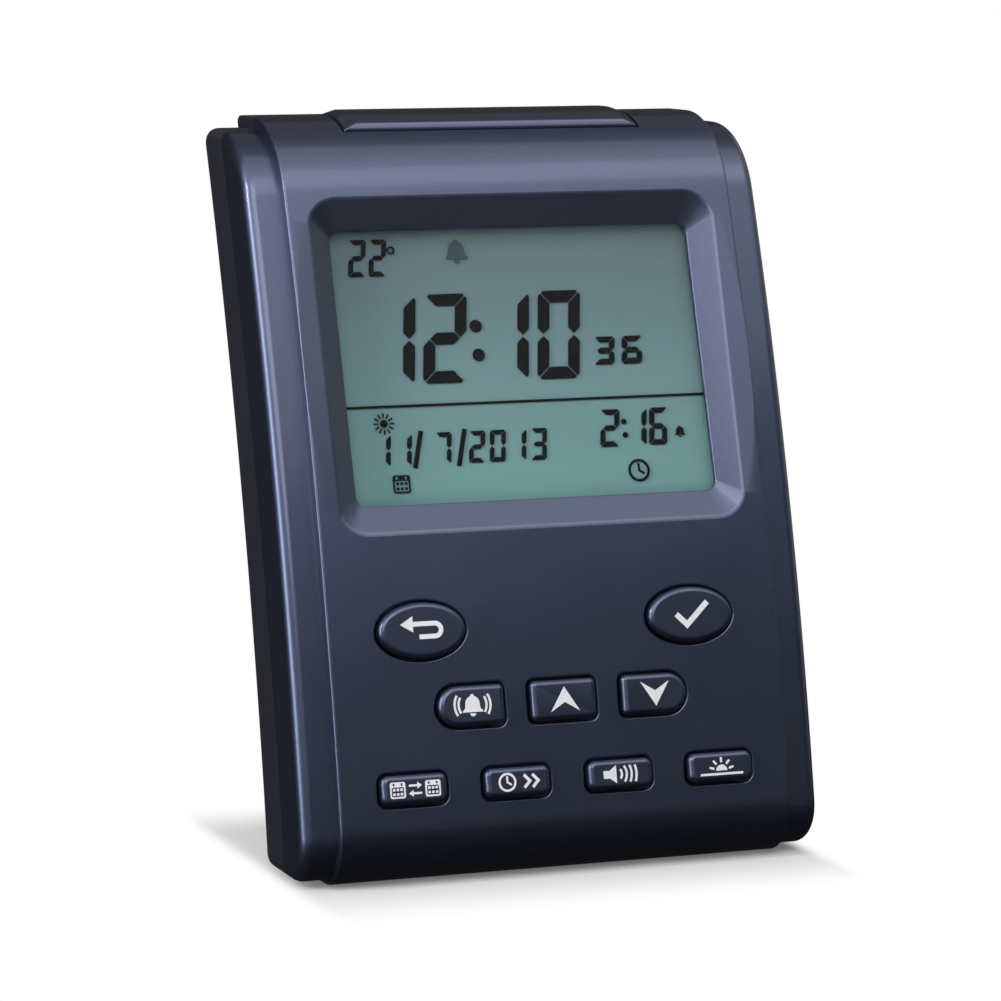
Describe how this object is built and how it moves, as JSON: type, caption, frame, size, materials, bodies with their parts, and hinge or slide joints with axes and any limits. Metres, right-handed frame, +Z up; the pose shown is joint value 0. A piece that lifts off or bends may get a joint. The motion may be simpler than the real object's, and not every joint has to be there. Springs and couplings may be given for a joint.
{
  "type": "prayer time table clock",
  "caption": "Leaning table clock with a liquid crystal display, front keys, a top push bar, a battery bay and a folding stand leg.",
  "frame": {"origin": "on the table under the middle of the standing clock's footprint", "axes": "+Z up, -Y out of the front, +X to the right of someone who faces the clock"},
  "size_m": [0.1, 0.0593, 0.136],
  "materials": {
    "blue_lacquer": "metallic blue lacquer, satin gloss",
    "rear_plastic": "dark moulded plastic",
    "key_plastic": "satin",
    "clear_plastic": "clear",
    "display_glass": "grey-green liquid crystal",
    "rear_glass": "grey-green",
    "white_plastic": "white",
    "grey_rubber": "matt",
    "board_green": "solder mask",
    "black_epoxy": "satin",
    "plated_steel": "plated",
    "nickel": "nickel",
    "cone_paper": "matt",
    "ferrite": "matt",
    "cell_jacket": "satin",
    "amber_foil": "satin",
    "capacitor_sleeve": "satin",
    "wire_red": "satin",
    "wire_black": "satin"
  },
  "bodies": {
    "case": {"front_case": "blue_lacquer", "rear_cover": "rear_plastic", "window_lens": "clear_plastic", "lcd_front_glass": "display_glass", "lcd_rear_glass": "rear_glass", "lcd_backlight": "white_plastic", "lcd_frame": "white_plastic", "keypad_membrane": "grey_rubber", "main_board": "board_green", "chip_cover": "black_epoxy", "capacitor": "capacitor_sleeve", "crystal": "nickel", "thermistor": "black_epoxy", "snooze_board": "board_green", "snooze_switch": "black_epoxy", "speaker_basket": "plated_steel", "speaker_cone": "cone_paper", "speaker_magnet": "ferrite", "battery_1": "cell_jacket", "battery_2": "cell_jacket", "contact_bridge": "nickel", "contact_negative": "nickel", "contact_positive": "nickel", "case_screw_1": "plated_steel", "case_screw_2": "plated_steel", "case_screw_3": "plated_steel", "case_screw_4": "plated_steel", "frame_screw_1": "plated_steel", "frame_screw_2": "plated_steel", "frame_screw_3": "plated_steel", "frame_screw_4": "plated_steel", "board_screw_1": "plated_steel", "board_screw_2": "plated_steel", "board_screw_3": "plated_steel", "board_screw_4": "plated_steel", "snooze_screw_1": "plated_steel", "snooze_screw_2": "plated_steel", "lcd_flex": "amber_foil", "wire_bay_black": "wire_black", "wire_bay_red": "wire_red", "wire_speaker_red": "wire_red", "wire_speaker_black": "wire_black", "wire_switch_red": "wire_red", "wire_switch_black": "wire_black"},
    "exit_key": {"exit_key": "key_plastic"},
    "set_key": {"set_key": "key_plastic"},
    "alarm_key": {"alarm_key": "key_plastic"},
    "up_key": {"up_key": "key_plastic"},
    "down_key": {"down_key": "key_plastic"},
    "calendar_key": {"calendar_key": "key_plastic"},
    "iqamah_key": {"iqamah_key": "key_plastic"},
    "sound_key": {"sound_key": "key_plastic"},
    "azan_key": {"azan_key": "key_plastic"},
    "snooze_bar": {"snooze_bar": "blue_lacquer"},
    "snooze_plunger": {"snooze_plunger": "white_plastic"},
    "battery_door": {"battery_door": "rear_plastic"},
    "stand_leg": {"stand_leg": "rear_plastic"}
  },
  "joints": [
    {"name": "exit_key_press", "type": "slide", "parent": "case", "child": "exit_key", "axis": [0, 0.9781, -0.208], "range_m": [0, 0.0008], "stiffness_N_per_m": 1500, "springref_m": -0.0003, "deforming": ["keypad_membrane"]},
    {"name": "set_key_press", "type": "slide", "parent": "case", "child": "set_key", "axis": [0, 0.9781, -0.208], "range_m": [0, 0.0008], "stiffness_N_per_m": 1500, "springref_m": -0.0003, "deforming": ["keypad_membrane"]},
    {"name": "alarm_key_press", "type": "slide", "parent": "case", "child": "alarm_key", "axis": [0, 0.9781, -0.208], "range_m": [0, 0.0008], "stiffness_N_per_m": 1500, "springref_m": -0.0003, "deforming": ["keypad_membrane"]},
    {"name": "up_key_press", "type": "slide", "parent": "case", "child": "up_key", "axis": [0, 0.9781, -0.208], "range_m": [0, 0.0008], "stiffness_N_per_m": 1500, "springref_m": -0.0003, "deforming": ["keypad_membrane"]},
    {"name": "down_key_press", "type": "slide", "parent": "case", "child": "down_key", "axis": [0, 0.9781, -0.208], "range_m": [0, 0.0008], "stiffness_N_per_m": 1500, "springref_m": -0.0003, "deforming": ["keypad_membrane"]},
    {"name": "calendar_key_press", "type": "slide", "parent": "case", "child": "calendar_key", "axis": [0, 0.9781, -0.208], "range_m": [0, 0.0008], "stiffness_N_per_m": 1500, "springref_m": -0.0003, "deforming": ["keypad_membrane"]},
    {"name": "iqamah_key_press", "type": "slide", "parent": "case", "child": "iqamah_key", "axis": [0, 0.9781, -0.208], "range_m": [0, 0.0008], "stiffness_N_per_m": 1500, "springref_m": -0.0003, "deforming": ["keypad_membrane"]},
    {"name": "sound_key_press", "type": "slide", "parent": "case", "child": "sound_key", "axis": [0, 0.9781, -0.208], "range_m": [0, 0.0008], "stiffness_N_per_m": 1500, "springref_m": -0.0003, "deforming": ["keypad_membrane"]},
    {"name": "azan_key_press", "type": "slide", "parent": "case", "child": "azan_key", "axis": [0, 0.9781, -0.208], "range_m": [0, 0.0008], "stiffness_N_per_m": 1500, "springref_m": -0.0003, "deforming": ["keypad_membrane"]},
    {"name": "snooze_press", "type": "slide", "parent": "case", "child": "snooze_bar", "axis": [0, 0, -1], "range_m": [0, 0.0008], "stiffness_N_per_m": 1200, "springref_m": -0.0004},
    {"name": "plunger_press", "type": "slide", "parent": "case", "child": "snooze_plunger", "axis": [0, 0, -1], "range_m": [0, 0.0008]},
    {"name": "door_swing", "type": "hinge", "parent": "case", "child": "battery_door", "pos_m": [0, -0.00445, 0.00974], "axis": [-1, 0, 0], "range_deg": [0, 70]},
    {"name": "leg_fold", "type": "hinge", "parent": "case", "child": "stand_leg", "pos_m": [0, 0.00535, 0.062], "axis": [-1, 0, 0], "range_deg": [0, 23.05]}
  ],
  "couplings": [
    {"joint": "plunger_press", "follows": "snooze_press", "ratio": 1}
  ]
}
